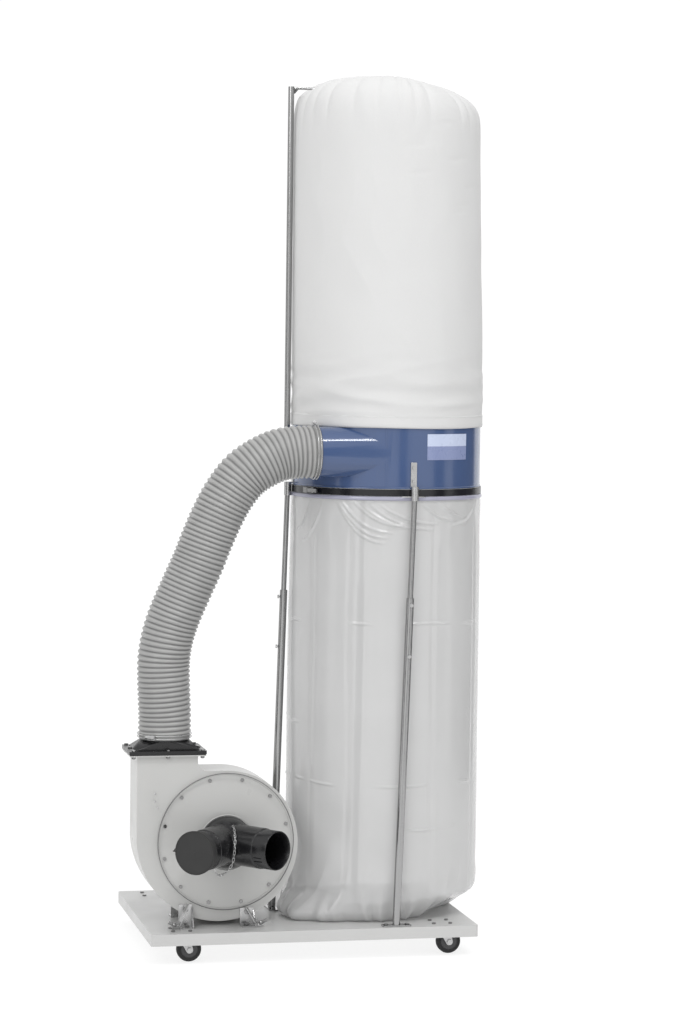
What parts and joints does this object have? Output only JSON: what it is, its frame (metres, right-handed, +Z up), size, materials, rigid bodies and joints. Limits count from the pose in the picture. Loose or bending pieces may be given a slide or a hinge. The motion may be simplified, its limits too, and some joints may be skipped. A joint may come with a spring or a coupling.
{
  "type": "dust collector",
  "caption": "Mobile dust collector: radial fan with a twin-port inlet, ribbed hose, bag drum on three posts, filter bag above, collection bag below.",
  "frame": {"origin": "on the floor, under the middle of the whole machine's bounding box", "axes": "+Z up, +X from the fan towards the bags, -Y the front where the inlet ports point"},
  "size_m": [0.966, 0.7039, 2.28],
  "materials": {
    "tray_paint": "satin light grey powder coat",
    "fan_paint": "satin light grey powder coat",
    "drum_paint": "gloss blue powder coat",
    "zinc": "bright zinc plate",
    "tube_steel": "drawn tube, zinc plated",
    "bearing_steel": "ground",
    "motor_alloy": "die cast, painted grey",
    "windings": "laminated core with windings",
    "impeller_paint": "satin dark grey",
    "black_plastic": "moulded, satin",
    "cap_plastic": "moulded, fine grain",
    "box_plastic": "moulded, fine grain",
    "green_plastic": "moulded",
    "red_plastic": "moulded",
    "hose_pvc": "soft ribbed vinyl",
    "wheel_rubber": "moulded",
    "strap_black": "coated band",
    "gasket_rubber": "closed-cell sheet",
    "plate_foil": "printed foil, two plain fields",
    "felt": "needle felt, singed face",
    "clear_film": "milky polyethylene film"
  },
  "bodies": {
    "root": {"base_tray": "tray_paint", "caster_plates": "zinc", "caster_bolts": "zinc", "fan_housing": "fan_paint", "fan_cover": "fan_paint", "cover_screws": "zinc", "fan_foot_left": "zinc", "fan_foot_right": "zinc", "foot_bolts": "zinc", "motor_bearings": "bearing_steel", "motor_stator": "windings", "motor_body": "motor_alloy", "motor_front_shield": "motor_alloy", "motor_rear_shield": "motor_alloy", "motor_cowl": "black_plastic", "motor_stand": "tray_paint", "switch_box": "box_plastic", "switch_lid": "box_plastic", "cable_gland": "black_plastic", "inlet_y_piece": "black_plastic", "cap_chain": "zinc", "outlet_transition": "black_plastic", "outlet_gasket": "gasket_rubber", "outlet_bolts": "zinc", "hose": "hose_pvc", "hose_clamps": "zinc", "bag_drum": "drum_paint", "deflector_cone": "zinc", "rating_plate": "plate_foil", "clamp_strap": "strap_black", "latch_base": "zinc", "post_brackets": "zinc", "post_tubes_upper": "tube_steel", "post_tubes_lower": "tube_steel", "post_bolts": "zinc", "hanger_pole": "tube_steel", "hanger_arm": "tube_steel", "filter_bag": "felt", "collection_bag": "clear_film"},
    "rotor": {"impeller": "impeller_paint", "motor_shaft": "bearing_steel", "motor_rotor": "windings", "motor_fan": "black_plastic"},
    "cap": {"port_cap": "cap_plastic"},
    "latch": {"latch_lever": "zinc"},
    "start": {"start_button": "green_plastic"},
    "stop": {"stop_button": "red_plastic"},
    "swivel_1": {"caster_fork_1": "zinc", "caster_axle_1": "zinc"},
    "wheel_1": {"caster_wheel_1": "wheel_rubber"},
    "swivel_2": {"caster_fork_2": "zinc", "caster_axle_2": "zinc"},
    "wheel_2": {"caster_wheel_2": "wheel_rubber"},
    "swivel_3": {"caster_fork_3": "zinc", "caster_axle_3": "zinc"},
    "wheel_3": {"caster_wheel_3": "wheel_rubber"},
    "swivel_4": {"caster_fork_4": "zinc", "caster_axle_4": "zinc"},
    "wheel_4": {"caster_wheel_4": "wheel_rubber"}
  },
  "joints": [
    {"name": "impeller_spin", "type": "hinge", "parent": "root", "child": "rotor", "pos_m": [-0.2315, 0, 0.3], "axis": [0, 1, 0], "continuous": true},
    {"name": "cap_pull", "type": "slide", "parent": "root", "child": "cap", "axis": [-0.6157, -0.788, 0], "range_m": [0, 0.04]},
    {"name": "start_press", "type": "slide", "parent": "root", "child": "start", "axis": [0, 0, -1], "range_m": [0, 0.004], "stiffness_N_per_m": 600, "springref_m": -0.001},
    {"name": "stop_press", "type": "slide", "parent": "root", "child": "stop", "axis": [0, 0, -1], "range_m": [0, 0.004], "stiffness_N_per_m": 600, "springref_m": -0.001},
    {"name": "latch_open", "type": "hinge", "parent": "root", "child": "latch", "pos_m": [-0.00955, -0.05854, 1.1995], "axis": [0, 0, -1], "range_deg": [0, 150]},
    {"name": "swivel_1_turn", "type": "hinge", "parent": "root", "child": "swivel_1", "pos_m": [-0.353, -0.1937, 0.07], "axis": [0, 0, 1], "continuous": true},
    {"name": "wheel_1_roll", "type": "hinge", "parent": "swivel_1", "child": "wheel_1", "pos_m": [-0.331, -0.1937, 0.03175], "axis": [0, 1, 0], "continuous": true},
    {"name": "swivel_2_turn", "type": "hinge", "parent": "root", "child": "swivel_2", "pos_m": [0.331, -0.1937, 0.07], "axis": [0, 0, 1], "continuous": true},
    {"name": "wheel_2_roll", "type": "hinge", "parent": "swivel_2", "child": "wheel_2", "pos_m": [0.353, -0.1937, 0.03175], "axis": [0, 1, 0], "continuous": true},
    {"name": "swivel_3_turn", "type": "hinge", "parent": "root", "child": "swivel_3", "pos_m": [-0.353, 0.2963, 0.07], "axis": [0, 0, 1], "continuous": true},
    {"name": "wheel_3_roll", "type": "hinge", "parent": "swivel_3", "child": "wheel_3", "pos_m": [-0.331, 0.2963, 0.03175], "axis": [0, 1, 0], "continuous": true},
    {"name": "swivel_4_turn", "type": "hinge", "parent": "root", "child": "swivel_4", "pos_m": [0.331, 0.2963, 0.07], "axis": [0, 0, 1], "continuous": true},
    {"name": "wheel_4_roll", "type": "hinge", "parent": "swivel_4", "child": "wheel_4", "pos_m": [0.353, 0.2963, 0.03175], "axis": [0, 1, 0], "continuous": true}
  ]
}
